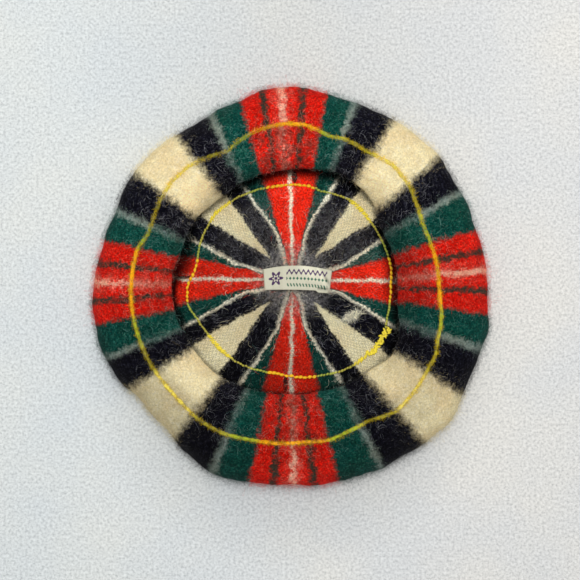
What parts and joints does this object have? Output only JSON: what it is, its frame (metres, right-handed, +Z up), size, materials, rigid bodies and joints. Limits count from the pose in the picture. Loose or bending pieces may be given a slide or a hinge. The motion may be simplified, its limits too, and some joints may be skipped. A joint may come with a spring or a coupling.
{
  "type": "tam o shanter",
  "caption": "Round flat wool bonnet in red, green, black and cream tartan, lying crown down with its head opening up; a bare woven label inside.",
  "frame": {"origin": "middle of the crown's outer face, on the surface that the bonnet lies on", "axes": "+Z up out of the head opening, +Y towards the top of the picture, +X towards its right"},
  "size_m": [0.2805, 0.2834, 0.0306],
  "materials": {
    "tartan_wool": "matte, brushed",
    "label_tape": "woven, slight sheen"
  },
  "bodies": {
    "root": {"bonnet": "tartan_wool", "label": "label_tape"}
  },
  "joints": []
}
